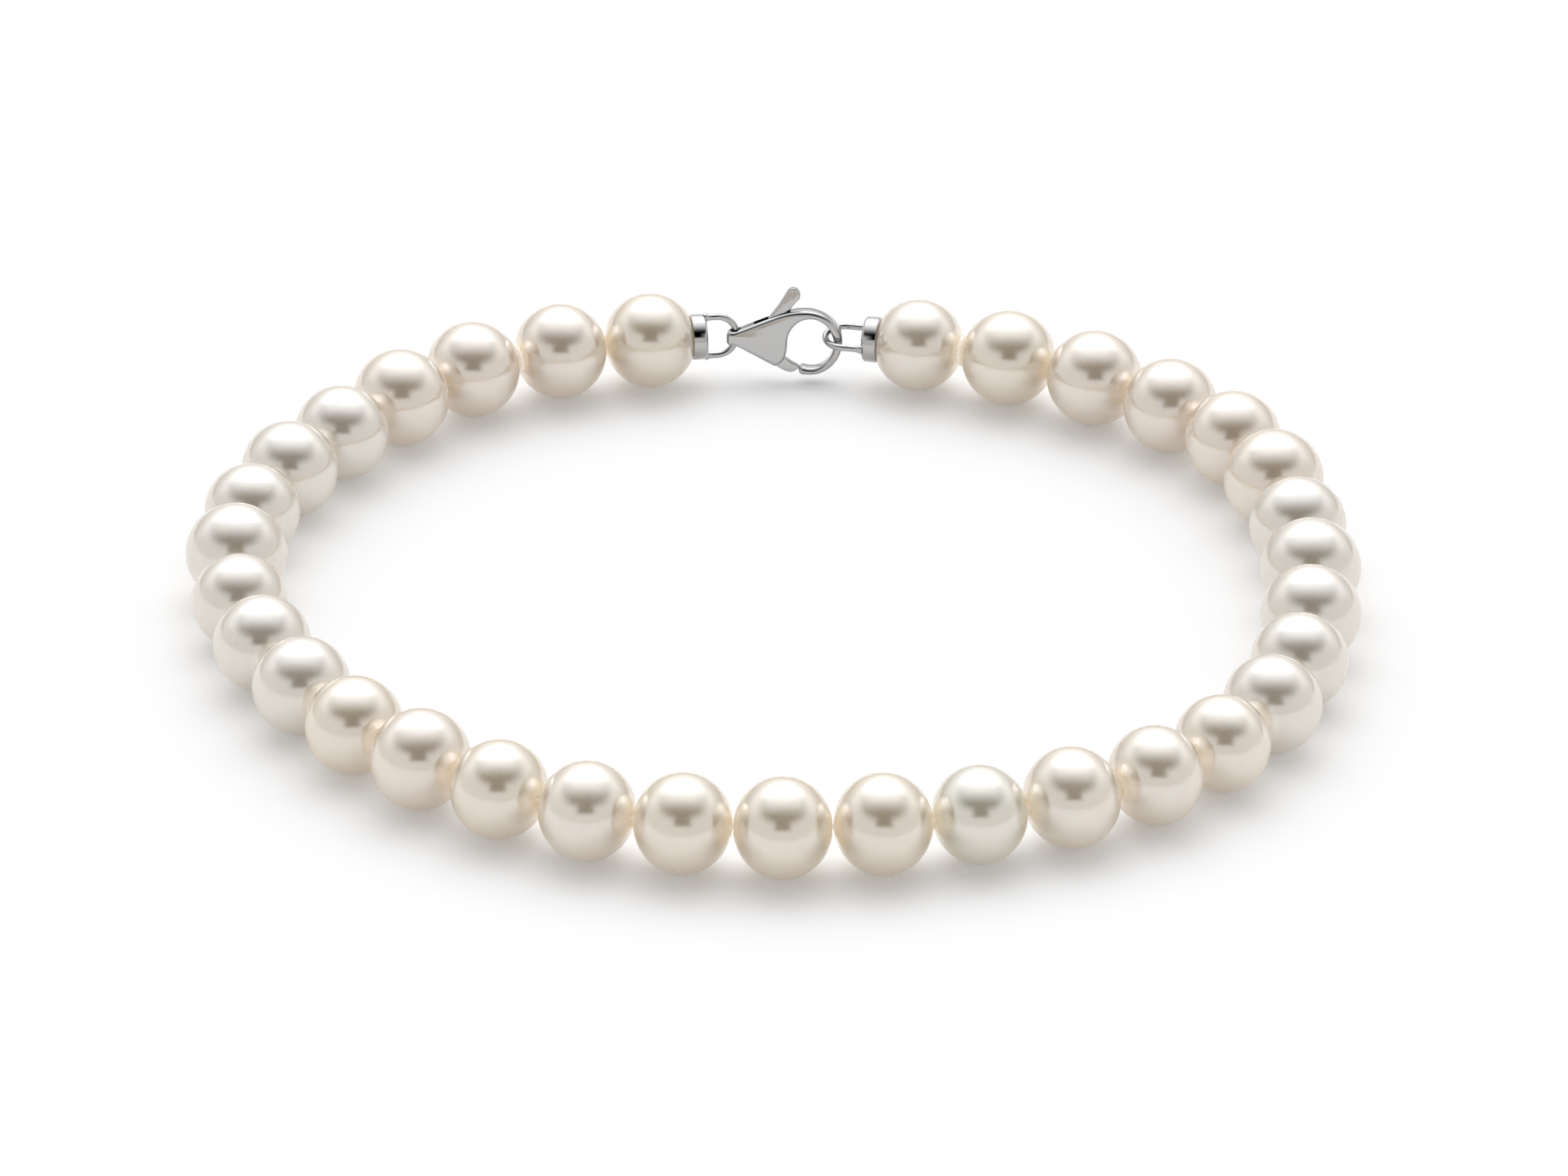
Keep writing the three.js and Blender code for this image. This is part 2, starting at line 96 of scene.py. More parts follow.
camera_data = bpy.data.cameras.new("camera")
camera_data.lens = LENS
camera_data.sensor_width = 36
camera_data.clip_start = 0.01
camera_data.clip_end = 50
camera = bpy.data.objects.new("camera", camera_data)
bpy.context.collection.objects.link(camera)
camera.location = LOOK_AT + CAMERA_DISTANCE * Vector((0, -math.cos(CAMERA_RISE), math.sin(CAMERA_RISE)))
camera.rotation_euler = (math.pi / 2 - CAMERA_RISE, 0, 0)
bpy.context.scene.camera = camera
bpy.context.scene.view_settings.view_transform = "Standard"
print("camera at", [round(v / MM, 1) for v in camera.location], "mm")

# %% [markdown]
# A direction is split into its height and its turn from the camera side, both in degrees. The
# soft light hangs high behind the bracelet, brightest in its middle, and fades out evenly.
# Below it stand white walls, brighter at the back, dimmer in the far corners, with the dark
# gap for the camera. Two numbers in brackets say where a change begins and where it is done.

# %% Directions in the room
world = bpy.data.worlds.new("white_studio")
bpy.context.scene.world = world
world.use_nodes = True
room = world.node_tree
room.nodes.clear()
MATH = "ShaderNodeMath"
VECTOR = "ShaderNodeVectorMath"
RANGE = "ShaderNodeMapRange"
SOFT = {"interpolation_type": "SMOOTHSTEP"}

way = add_node(room, "ShaderNodeTexCoord").outputs["Generated"]
to_right, to_back, up = add_node(room, "ShaderNodeSeparateXYZ", [way]).outputs
height = add_node(room, MATH, [up], operation="ARCSINE")
height = add_node(room, MATH, [height], operation="DEGREES")
to_front = add_node(room, MATH, [to_back, -1.0], operation="MULTIPLY")
sideways = add_node(room, MATH, [to_right], operation="ABSOLUTE")
turn = add_node(room, MATH, [sideways, to_front], operation="ARCTAN2")
turn = add_node(room, MATH, [turn], operation="DEGREES")
print("room's directions split with", len(room.nodes), "nodes")

# %% The soft light: a wide even fade, and a brighter core behind that throws shadows forward
LIGHT_MIDDLE = (0.0, 0.38, 0.92)
LIGHT_SHAPE = (0.77, 1.0, 1.0)
LIGHT_FADE = (0.15, 1.05)
LIGHT_BRIGHT = 1.74
CORE_MIDDLE = (0.0, 0.58, 0.81)
CORE_SHAPE = (0.55, 1.0, 1.0)
CORE_FADE = (0.1, 0.48)
CORE_BRIGHT = 1.5

beside = add_node(room, VECTOR, [way, LIGHT_MIDDLE], operation="SUBTRACT")
beside = add_node(room, VECTOR, [beside, LIGHT_SHAPE], operation="MULTIPLY")
beside = add_node(room, VECTOR, [beside], operation="LENGTH").outputs["Value"]
wide = add_node(room, RANGE, [beside, *LIGHT_FADE, LIGHT_BRIGHT, 0.0], **SOFT)
beside_core = add_node(room, VECTOR, [way, CORE_MIDDLE], operation="SUBTRACT")
beside_core = add_node(room, VECTOR, [beside_core, CORE_SHAPE], operation="MULTIPLY")
beside_core = add_node(room, VECTOR, [beside_core], operation="LENGTH").outputs["Value"]
core = add_node(room, RANGE, [beside_core, *CORE_FADE, CORE_BRIGHT, 0.0], **SOFT)
glow = add_node(room, MATH, [wide, core], operation="ADD")
print("soft light of brightness", LIGHT_BRIGHT, "with a core of", CORE_BRIGHT)

# %% The walls, and the camera's gap in them above the front edge of the table
WALL_LIGHT = 0.82
CORNER_LIGHT = 0.6
CORNER_TURN = (112.0, 138.0)
BACK_LIGHT = 0.4
BACK_TURN = (145.0, 178.0)
GAP_SIDE = (12.0, 30.0)
GAP_FOOT = (17.0, 28.0)
WALL_TOP = (26.0, 50.0)

wall = add_node(room, RANGE, [turn, *CORNER_TURN, WALL_LIGHT, CORNER_LIGHT], **SOFT)
back = add_node(room, RANGE, [turn, *BACK_TURN, 0.0, BACK_LIGHT], **SOFT)
wall = add_node(room, MATH, [wall, back], operation="ADD")
beside_gap = add_node(room, RANGE, [turn, *GAP_SIDE], **SOFT)
under_gap = add_node(room, RANGE, [height, *GAP_FOOT, 1.0, 0.0], **SOFT)
gap = add_node(room, MATH, [beside_gap, under_gap], operation="MAXIMUM")
wall = add_node(room, MATH, [wall, gap], operation="MULTIPLY")
wall_top = add_node(room, RANGE, [height, *WALL_TOP, 1.0, 0.0], **SOFT)
light = add_node(room, MATH, [wall, wall_top, glow], operation="MULTIPLY_ADD")
print("walls of brightness", WALL_LIGHT, "that end between", WALL_TOP, "degrees")

# %% The far edge of the table, and the colour of the light
TABLE_LIGHT = 0.95
TABLE_EDGE = (-1.0, 0.0)
HORIZON_LIGHT = 0.45
HORIZON_TOP = (2.0, 7.0)
HORIZON_TURN = (110.0, 130.0)
LIGHT_COLOUR = "#F8FBFF"
COOLER_ABOVE = (20.0, 50.0)

# a dim line where the table ends far behind, and the table's own white below it
line_height = add_node(room, RANGE, [height, *HORIZON_TOP, 1.0, 0.0], **SOFT)
line_turn = add_node(room, RANGE, [turn, *HORIZON_TURN], **SOFT)
far_line = add_node(room, MATH, [line_height, line_turn], operation="MULTIPLY")
light = add_node(room, RANGE, [far_line, 0.0, 1.0, light, HORIZON_LIGHT])
above_table = add_node(room, RANGE, [height, *TABLE_EDGE])
light = add_node(room, RANGE, [above_table, 0.0, 1.0, TABLE_LIGHT, light])

# daylight from above is a little cooler than what the walls and the table send back
overhead = add_node(room, RANGE, [height, *COOLER_ABOVE], **SOFT)
colour = add_node(room, "ShaderNodeMix", {
    0: overhead, 6: linear("#FFFFFF"), 7: linear(LIGHT_COLOUR),
}, data_type="RGBA").outputs[2]
background = add_node(room, "ShaderNodeBackground", [colour, light])
add_node(room, "ShaderNodeOutputWorld", [background])
print("room drawn with", len(room.nodes), "nodes")

# %% [markdown]
# ## The table
# The bracelet lies on a matt white sheet of acrylic. A wide disc does, because nothing else of
# it shows. It glows a little, as a sheet does that is also lit from below.

# %% Table
TABLE_RADIUS = 4.0
TABLE_SIDES = 96
TABLE_GLOW = 0.17

table_shape = bmesh.new()
bmesh.ops.create_circle(table_shape, cap_ends=True, radius=TABLE_RADIUS, segments=TABLE_SIDES)
table_mesh = bpy.data.meshes.new("table")
table_shape.to_mesh(table_mesh)
table_shape.free()


def add_object(name, mesh):
    """Puts a mesh or a curve into the scene under a name."""
    made = bpy.data.objects.new(name, mesh)
    bpy.context.scene.collection.objects.link(made)
    return made


def start_finish(name):
    """A new material's tree and its Principled shader."""
    finish = bpy.data.materials.new(name)
    finish.use_nodes = True
    return finish, finish.node_tree, finish.node_tree.nodes["Principled BSDF"]


table = add_object("table", table_mesh)
acrylic, tree, shader = start_finish("matt_white_acrylic")
shader.inputs["Base Color"].default_value = linear("#E8E6E4")
shader.inputs["Roughness"].default_value = 1.0
shader.inputs["Specular IOR Level"].default_value = 0.0
shader.inputs["Emission Color"].default_value = linear("#FFFFFF")
shader.inputs["Emission Strength"].default_value = TABLE_GLOW
table.data.materials.append(acrylic)
print("table of", TABLE_RADIUS, "m radius")

# %% [markdown]
# ## Nacre
# A cultured pearl is a bead with thousands of thin layers of nacre grown on it. Light comes
# back from many depths, so a pearl looks partly like silk and partly like a soft mirror. A
# mixture of a metal-like and a milky shader gives both, under a thin clear coat for the polish
# of the outermost layer. One layer of nacre has an index of about 1.6. Thousands of them
# reflect far more together, so the index here is much higher, matched to the photograph.
# Near the string, where each pearl touches the next, the nacre glows a little. This is painted
# light, so no black crevice shows between the pearls. Each pearl also leans to its own
# overtone: silver, rose or cream.

# %% Nacre finish
NACRE_BODY = "#DEDEDE"
NACRE_DEEP = "#D8D8D8"
CLOUD_SIZE = 2.2 * MM
SKIN_SIZE = 0.35 * MM
SKIN_DEPTH = 0.0012 * MM
GLOW_DEPTH = 2.5 * MM
PAINTED_CREVICE_LIGHT = 0.17
PAINTED_LIGHT_REACH = (0.8, 1.0)

nacre, tree, shader = start_finish("polished_nacre")
nacre.cycles.emission_sampling = "NONE"  # the painted light near the string is too faint to serve as a lamp
place = add_node(tree, "ShaderNodeTexCoord").outputs["Object"]
clouds = add_node(tree, "ShaderNodeTexNoise", {"Vector": place, "Scale": 1 / CLOUD_SIZE, "Detail": 2.0})
layers = add_node(tree, "ShaderNodeMix", {
    0: clouds.outputs["Fac"], 6: linear(NACRE_DEEP), 7: linear(NACRE_BODY),
}, data_type="RGBA")
overtone = add_node(tree, "ShaderNodeAttribute", attribute_name="overtone")
tinted = add_node(tree, "ShaderNodeMix", {
    0: 1.0, 6: layers.outputs[2], 7: overtone.outputs["Color"],
}, data_type="RGBA", blend_type="MULTIPLY")
to_string = add_node(tree, "ShaderNodeAttribute", attribute_name="to_string").outputs["Fac"]
# painted light: the nacre glows in its own colour near the string, where pearls touch, so the crevice
# between them doesn't show black
painted_light_strength = add_node(tree, RANGE, [to_string, *PAINTED_LIGHT_REACH, 0.0, PAINTED_CREVICE_LIGHT], **SOFT)
skin = add_node(tree, "ShaderNodeTexNoise", {"Vector": place, "Scale": 1 / SKIN_SIZE, "Detail": 3.0})
dimples = add_node(tree, "ShaderNodeBump", {"Height": skin.outputs["Fac"], "Distance": SKIN_DEPTH})
tree.links.new(tinted.outputs[2], shader.inputs["Base Color"])
tree.links.new(tinted.outputs[2], shader.inputs["Emission Color"])
tree.links.new(painted_light_strength.outputs[0], shader.inputs["Emission Strength"])
tree.links.new(dimples.outputs["Normal"], shader.inputs["Normal"])
shader.inputs["Metallic"].default_value = 0.1
shader.inputs["IOR"].default_value = 4.3
shader.inputs["Roughness"].default_value = 0.15
shader.inputs["Subsurface Weight"].default_value = 1.0
shader.inputs["Subsurface Radius"].default_value = (1.0, 0.9, 0.75)
shader.inputs["Subsurface Scale"].default_value = GLOW_DEPTH
shader.inputs["Coat Weight"].default_value = 0.35
shader.inputs["Coat Roughness"].default_value = 0.08
print("nacre clouds every", round(CLOUD_SIZE / MM, 2), "mm")

# %% [markdown]
# ## Pearls
# All pearls are the same kind of thing: a nearly round ball with a drilled hole, a little
# uneven as it grew. So one geometry-node tree makes each of them from its own sizes. It bends
# a grid round a ball, where the last row of the grid goes back through the hole and closes it.

# %% Helpers for geometry nodes
def start_tree(name, inputs):
    """A geometry tree with named inputs, and the sockets that bring them in."""
    shape = bpy.data.node_groups.new(name, "GeometryNodeTree")
    shape.interface.new_socket("Geometry", in_out="INPUT", socket_type="NodeSocketGeometry")
    for label, kind in inputs.items():
        shape.interface.new_socket(label, in_out="INPUT", socket_type="NodeSocket" + kind)
    shape.interface.new_socket("Geometry", in_out="OUTPUT", socket_type="NodeSocketGeometry")
    return shape, add_node(shape, "NodeGroupInput").outputs


def end_tree(shape, geometry, finish):
    """Every tree ends in real geometry with its finish."""
    real = add_node(shape, "GeometryNodeRealizeInstances", {0: geometry}).outputs[0]
    done = add_node(shape, "GeometryNodeSetMaterial", {"Geometry": real, "Material": finish}).outputs[0]
    add_node(shape, "NodeGroupOutput", {0: done})


def plain_mesh(holder):
    """What a holder's modifiers or curve settings make, as a plain mesh. The holder goes."""
    bpy.context.view_layer.update()
    graph = bpy.context.evaluated_depsgraph_get()
    shown = holder.evaluated_get(graph)
    mesh = bpy.data.meshes.new_from_object(shown, preserve_all_data_layers=True, depsgraph=graph)
    bpy.data.objects.remove(holder)
    return mesh


def grow(name, shape, values, path=()):
    """Runs a tree with these inputs, on the points of a path if it has one."""
    start = bpy.data.meshes.new(name)
    start.from_pydata([tuple(point) for point in path], [(i, i + 1) for i in range(len(path) - 1)], [])
    holder = add_object("holder", start)
    maker = holder.modifiers.new("maker", "NODES")
    maker.node_group = shape
    for item in shape.interface.items_tree:
        if item.name in values:
            maker[item.identifier] = values[item.name]
    mesh = plain_mesh(holder)
    mesh.name = name
    return add_object(name, mesh)


# %% The pearl's tree: from the grid's rows to angles on a ball
PEARL_SIDES = 64
PEARL_ROWS = 40

pearl_tree, asked = start_tree("pearl_shape", {
    "Centre": "Vector", "String direction": "Vector", "Across": "Float", "Along": "Float",
    "Bore": "Float", "Unevenness": "Float", "Seed": "Float", "Overtone": "Color",
})
grid = add_node(pearl_tree, "GeometryNodeMeshGrid", {
    "Size X": 1.0, "Size Y": 1.0, "Vertices X": PEARL_SIDES + 1, "Vertices Y": PEARL_ROWS + 2,
})

# the grid's own x becomes the angle round the string, and y the angle from pole to pole
flat = add_node(pearl_tree, "GeometryNodeInputPosition")
flat_x, flat_y = add_node(pearl_tree, "ShaderNodeSeparateXYZ", [flat]).outputs[:2]
around = add_node(pearl_tree, MATH, [flat_x, 2 * math.pi, math.pi], operation="MULTIPLY_ADD")
full_row = (PEARL_ROWS + 1) / PEARL_ROWS
row = add_node(pearl_tree, MATH, [flat_y, full_row, full_row / 2], operation="MULTIPLY_ADD")
kept = add_node(pearl_tree, MATH, [row, 1 + 0.5 / PEARL_ROWS], operation="LESS_THAN")
row = add_node(pearl_tree, MATH, [row, kept], operation="MULTIPLY")
mouth = add_node(pearl_tree, MATH, [asked["Bore"], asked["Across"]], operation="DIVIDE")
mouth = add_node(pearl_tree, MATH, [mouth], operation="ARCSINE")
swing = add_node(pearl_tree, MATH, [mouth, -2.0, math.pi], operation="MULTIPLY_ADD")
polar = add_node(pearl_tree, MATH, [math.pi, mouth], operation="SUBTRACT")
swung = add_node(pearl_tree, MATH, [row, swing], operation="MULTIPLY")
polar = add_node(pearl_tree, MATH, [polar, swung], operation="SUBTRACT")
print("grid of", PEARL_SIDES, "sides and", PEARL_ROWS, "rows, and one row for the hole")

# %% The pearl's tree: the skin
SWELL_SCALE = 1.1
WELD = 0.001 * MM
SHARP_EDGE = math.radians(40)

# a round ball first, then its own sizes, a little more or less wherever it grew unevenly
out = add_node(pearl_tree, MATH, [polar], operation="SINE")
east = add_node(pearl_tree, MATH, [around], operation="COSINE")
north = add_node(pearl_tree, MATH, [around], operation="SINE")
ball_x = add_node(pearl_tree, MATH, [out, east], operation="MULTIPLY")
ball_y = add_node(pearl_tree, MATH, [out, north], operation="MULTIPLY")
ball_z = add_node(pearl_tree, MATH, [polar], operation="COSINE")
ball = add_node(pearl_tree, "ShaderNodeCombineXYZ", [ball_x, ball_y, ball_z])
swell = add_node(pearl_tree, "ShaderNodeTexNoise", {
    "Vector": ball, "W": asked["Seed"], "Scale": SWELL_SCALE, "Detail": 1.0,
}, noise_dimensions="4D")
uneven = add_node(pearl_tree, MATH, [swell, 0.5], operation="SUBTRACT")
uneven = add_node(pearl_tree, MATH, [uneven, asked["Unevenness"]], operation="MULTIPLY")
half_across = add_node(pearl_tree, MATH, [asked["Across"], 0.5], operation="MULTIPLY")
half_across = add_node(pearl_tree, MATH, [half_across, uneven], operation="SUBTRACT")
half_along = add_node(pearl_tree, MATH, [asked["Along"], 0.5], operation="MULTIPLY")
half_along = add_node(pearl_tree, MATH, [half_along, uneven], operation="SUBTRACT")
half_sizes = add_node(pearl_tree, "ShaderNodeCombineXYZ", [half_across, half_across, half_along])
skin_place = add_node(pearl_tree, VECTOR, [ball, half_sizes], operation="MULTIPLY")
bent = add_node(pearl_tree, "GeometryNodeSetPosition", {"Geometry": grid, "Position": skin_place})
closed = add_node(pearl_tree, "GeometryNodeMergeByDistance", {"Geometry": bent, "Distance": WELD})
fold = add_node(pearl_tree, "GeometryNodeInputMeshEdgeAngle").outputs["Unsigned Angle"]
soft = add_node(pearl_tree, MATH, [fold, SHARP_EDGE], operation="LESS_THAN")
rounded = add_node(pearl_tree, "GeometryNodeSetShadeSmooth", {"Geometry": closed}, domain="FACE")
smooth = add_node(pearl_tree, "GeometryNodeSetShadeSmooth", {
    "Geometry": rounded, "Shade Smooth": soft,
}, domain="EDGE")
print("edges stay sharp past", round(math.degrees(SHARP_EDGE)), "degrees, as at the drilled hole")

# %% The pearl's tree: what the nacre has to know, and the pearl's place
# each point stores the overtone, and how near the string is, where the nacre has painted light
coloured = add_node(pearl_tree, "GeometryNodeStoreNamedAttribute", {
    "Geometry": smooth, "Name": "overtone", "Value": asked["Overtone"],
}, data_type="FLOAT_COLOR", domain="POINT")
grown = add_node(pearl_tree, "GeometryNodeInputPosition")
grown_z = add_node(pearl_tree, "ShaderNodeSeparateXYZ", [grown]).outputs[2]
to_pole = add_node(pearl_tree, MATH, [grown_z, half_along], operation="DIVIDE")
to_pole = add_node(pearl_tree, MATH, [to_pole], operation="ABSOLUTE")
marked = add_node(pearl_tree, "GeometryNodeStoreNamedAttribute", {
    "Geometry": coloured, "Name": "to_string", "Value": to_pole,
}, data_type="FLOAT", domain="POINT")
faced = add_node(pearl_tree, "FunctionNodeAlignRotationToVector", {
    "Vector": asked["String direction"],
}, axis="Z")
placed = add_node(pearl_tree, "GeometryNodeTransform", {
    "Geometry": marked, "Translation": asked["Centre"], "Rotation": faced,
})
end_tree(pearl_tree, placed, nacre)
print("pearl tree with", len(pearl_tree.nodes), "nodes")

# %% [markdown]
# The string's own direction at a pearl is the line between its two neighbours, as seen from
# above. The end pearls look towards the end caps instead. Each cap stands a little turned out
# from the line between the two end pearls, because the clasp's width pushes it outwards.

# %% Places of the pearls and of the end caps
PEARL_COUNT = 33
PEARL_BORE = 0.9 * MM
CAP_TURN = math.radians(9.5)
CAP_SEAT_GAP = 0.07 * MM
CAP_FLOOR = 0.5 * MM
CAP_LIFT = 0.05 * MM
WIRE_DIAMETER = 0.38 * MM
LEFT_REACH = 1.92 * MM
RIGHT_REACH = 2.4 * MM
UPRIGHT = Vector((0, 0, 1))

pearl_names = ["pearl_" + str(number).zfill(2) for number in range(1, PEARL_COUNT + 1)]
corners = [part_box(name) for name in pearl_names]
centres = [(Vector(low) + Vector(high)) / 2 for low, high in corners]
across = [high[2] - low[2] for low, high in corners]
chord = centres[-1] - centres[0]
chord.z = 0
left_way = Matrix.Rotation(CAP_TURN, 3, "Z") @ chord.normalized()
right_way = Matrix.Rotation(-CAP_TURN, 3, "Z") @ -chord.normalized()


def string_way(index):
    """Which way the string runs through a pearl, as seen from above."""
    before = centres[index - 1] if index > 0 else centres[0] + left_way * across[0]
    after = centres[index + 1] if index < PEARL_COUNT - 1 else centres[-1] + right_way * across[-1]
    way_on = after - before
    way_on.z = 0
    return way_on.normalized()


def length_along(name, way_on, wide):
    """A pearl's length on the string, from its solid, which ends at the mouths of its bore."""
    reach = [vertex.co.dot(way_on) for vertex in frame["nodes"][name].data.vertices]
    return (max(reach) - min(reach)) / math.cos(math.asin(PEARL_BORE / wide))


ways = [string_way(index) for index in range(PEARL_COUNT)]
lengths = [length_along(*row) for row in zip(pearl_names, ways, across)]
clasp_level = (across[0] + across[-1]) / 4 + CAP_LIFT
print("pearls are", round(min(across) / MM, 2), "to", round(max(across) / MM, 2), "mm across")

# %% Pearls
UNEVENNESS = 0.04 * MM
SEED_STEP = 1.7
OVERTONES = {
    "ivory": "#FFF1DD",
    "silver": "#FAF0E1",
    "green": "#F9F2DE",
    "rose": "#FFEFDB",
    "cream": "#FFF0D8",
}
LEANING = {
    "silver": (5, 6, 7, 8, 9, 10, 11, 23, 24, 25, 26, 27),
    "green": (19,),
    "rose": (2, 3, 4, 13, 28, 29, 30, 31),
    "cream": (1, 12, 14, 16, 17, 18, 32),
}
triangles = 0
for index, name in enumerate(pearl_names):
    tone = next((tone for tone, numbers in LEANING.items() if index + 1 in numbers), "ivory")
    pearl = grow(name + "_nacre", pearl_tree, {
        "Centre": centres[index],
        "String direction": ways[index],
        "Across": across[index],
        "Along": lengths[index],
        "Bore": PEARL_BORE,
        "Unevenness": UNEVENNESS,
        "Seed": SEED_STEP * index,
        "Overtone": linear(OVERTONES[tone]),
    })
    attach(pearl, "bracelet")
    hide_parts(name)
    triangles += sum(len(face.vertices) - 2 for face in pearl.data.polygons)
print(PEARL_COUNT, "pearls with", triangles, "triangles")

# %% [markdown]
# ## Silk thread and knots
# Pearls are strung on a twisted silk thread of about 0.3 mm. A jeweller ties a knot near each
# end, where the thread goes back through the last pearls to hide its end. Here one knot shows
# after the second pearl and one before the last. A tree sweeps a three-lobed outline along a
# path and twists it as it goes, which draws the three strands. The knots are the same thread,
# laid in a tight flat coil. The silk glows a little as well: painted light, so the thread
# between the pearls doesn't show dark in their shade.

# %% Silk finish
FIBRE_SIZE = 0.02 * MM  # twice as coarse as real fibres, which would be too fine to show
FIBRE_DEPTH = 0.004 * MM
PAINTED_SILK_LIGHT = 0.3

silk, tree, shader = start_finish("twisted_silk")
silk.cycles.emission_sampling = "NONE"  # the silk's painted light is too faint for a lamp, as the nacre's is
place = add_node(tree, "ShaderNodeTexCoord").outputs["Object"]
fibres = add_node(tree, "ShaderNodeTexNoise", {"Vector": place, "Scale": 1 / FIBRE_SIZE, "Detail": 2.0})
shades = add_node(tree, "ShaderNodeMix", {
    0: fibres.outputs["Fac"], 6: linear("#F1E6D6"), 7: linear("#FCF6EB"),
}, data_type="RGBA")
fuzz = add_node(tree, "ShaderNodeBump", {"Height": fibres.outputs["Fac"], "Distance": FIBRE_DEPTH})
tree.links.new(shades.outputs[2], shader.inputs["Base Color"])
tree.links.new(fuzz.outputs["Normal"], shader.inputs["Normal"])
shader.inputs["Roughness"].default_value = 0.55
shader.inputs["Sheen Weight"].default_value = 0.4
# painted light: an even glow that keeps the thread between the pearls from showing dark in their shade
shader.inputs["Emission Color"].default_value = linear("#F6EBDC")
shader.inputs["Emission Strength"].default_value = PAINTED_SILK_LIGHT
print("silk fibres drawn", round(FIBRE_SIZE / MM, 3), "mm wide")

# %% The thread's tree
THREAD_DIAMETER = 0.3 * MM
STRANDS = 3
STRAND_SIDES = 5
BETWEEN_STRANDS = 0.78

thread_tree, asked = start_tree("thread_shape", {
    "Diameter": "Float", "Step": "Float", "Twist pitch": "Float",
})
line = add_node(thread_tree, "GeometryNodeMeshToCurve", [asked["Geometry"]])
line = add_node(thread_tree, "GeometryNodeCurveSplineType", [line], spline_type="CATMULL_ROM")
line = add_node(thread_tree, "GeometryNodeSetSplineResolution", {"Geometry": line, "Resolution": 16})
line = add_node(thread_tree, "GeometryNodeResampleCurve", {
    "Curve": line, "Length": asked["Step"],
}, mode="LENGTH")
gone = add_node(thread_tree, "GeometryNodeSplineParameter").outputs["Length"]
turns = add_node(thread_tree, MATH, [gone, asked["Twist pitch"]], operation="DIVIDE")
twist = add_node(thread_tree, MATH, [turns, 2 * math.pi], operation="MULTIPLY")
line = add_node(thread_tree, "GeometryNodeSetCurveTilt", {0: line, "Tilt": twist})

# the outline: a small circle that is drawn in a little between the strands
section = add_node(thread_tree, "GeometryNodeCurvePrimitiveCircle", {
    "Resolution": STRAND_SIDES * STRANDS, "Radius": 0.5,
})
share = add_node(thread_tree, "GeometryNodeSplineParameter").outputs["Factor"]
lobe = add_node(thread_tree, MATH, [share, 2 * math.pi * STRANDS], operation="MULTIPLY")
lobe = add_node(thread_tree, MATH, [lobe], operation="COSINE")
lobe = add_node(thread_tree, RANGE, [lobe, -1.0, 1.0, BETWEEN_STRANDS, 1.0])
size = add_node(thread_tree, MATH, [lobe, asked["Diameter"]], operation="MULTIPLY")
spot = add_node(thread_tree, "GeometryNodeInputPosition")
spot = add_node(thread_tree, VECTOR, {0: spot, "Scale": size}, operation="SCALE")
lobed = add_node(thread_tree, "GeometryNodeSetPosition", {"Geometry": section, "Position": spot})
body = add_node(thread_tree, "GeometryNodeCurveToMesh", {
    "Curve": line, "Profile Curve": lobed, "Fill Caps": True,
})
end_tree(thread_tree, body, silk)
print("thread tree with", len(thread_tree.nodes), "nodes")

# %% Thread and knots
TWIST_PITCH = 1.1 * MM
THREAD_STEP = 0.16 * MM
KNOT_AFTER_PEARL = (2, 32)
KNOT_REACH = 0.88 * MM
KNOT_TURNS = 2.6
KNOT_POINTS = 60
INTO_CAP = CAP_FLOOR / 2

left_pole = centres[0] + left_way * (lengths[0] / 2 + CAP_SEAT_GAP)
left_pole.z = clasp_level
right_pole = centres[-1] + right_way * (lengths[-1] / 2 + CAP_SEAT_GAP)
right_pole.z = clasp_level
thread_path = [left_pole + left_way * INTO_CAP, *centres, right_pole + right_way * INTO_CAP]
thread_sizes = {"Diameter": THREAD_DIAMETER, "Step": THREAD_STEP, "Twist pitch": TWIST_PITCH}
strands = [grow("silk_thread", thread_tree, thread_sizes, thread_path)]


def coil(number):
    """A tight flat coil of thread between a pearl and the next one."""
    near, far = centres[number - 1], centres[number]
    middle = near.lerp(far, lengths[number - 1] / (lengths[number - 1] + lengths[number]))
    way_on = (far - near).normalized()
    level = UPRIGHT.cross(way_on).normalized()
    points = []
    for step in range(KNOT_POINTS + 1):
        part = step / KNOT_POINTS
        angle = 2 * math.pi * KNOT_TURNS * part
        reach = THREAD_DIAMETER + (KNOT_REACH - THREAD_DIAMETER) * part
        points.append(middle + reach * (math.cos(angle) * level + math.sin(angle) * UPRIGHT))
    return points


for number in KNOT_AFTER_PEARL:
    strands.append(grow("knot_after_pearl_" + str(number), thread_tree, thread_sizes, coil(number)))
for strand in strands:
    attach(strand, "bracelet")
    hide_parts("thread")
print("thread and", len(strands) - 1, "knots")

# %% [markdown]
# ## Polished white metal
# The clasp and the caps are cast or turned in a white metal, such as silver or rhodium-plated
# brass, and polished to a mirror. What the eye gets is the room itself, with fine hairlines
# from wear. The metal is darker than the white table because it reflects only part of it.

# %% Polished metal finish
HAIRLINE_SIZE = 0.05 * MM  # coarser than real wear, which would be too fine to show
HAIRLINE_DEPTH = 0.0001 * MM
HAIRLINE_SHAPE = (0.12, 1.0, 1.0)

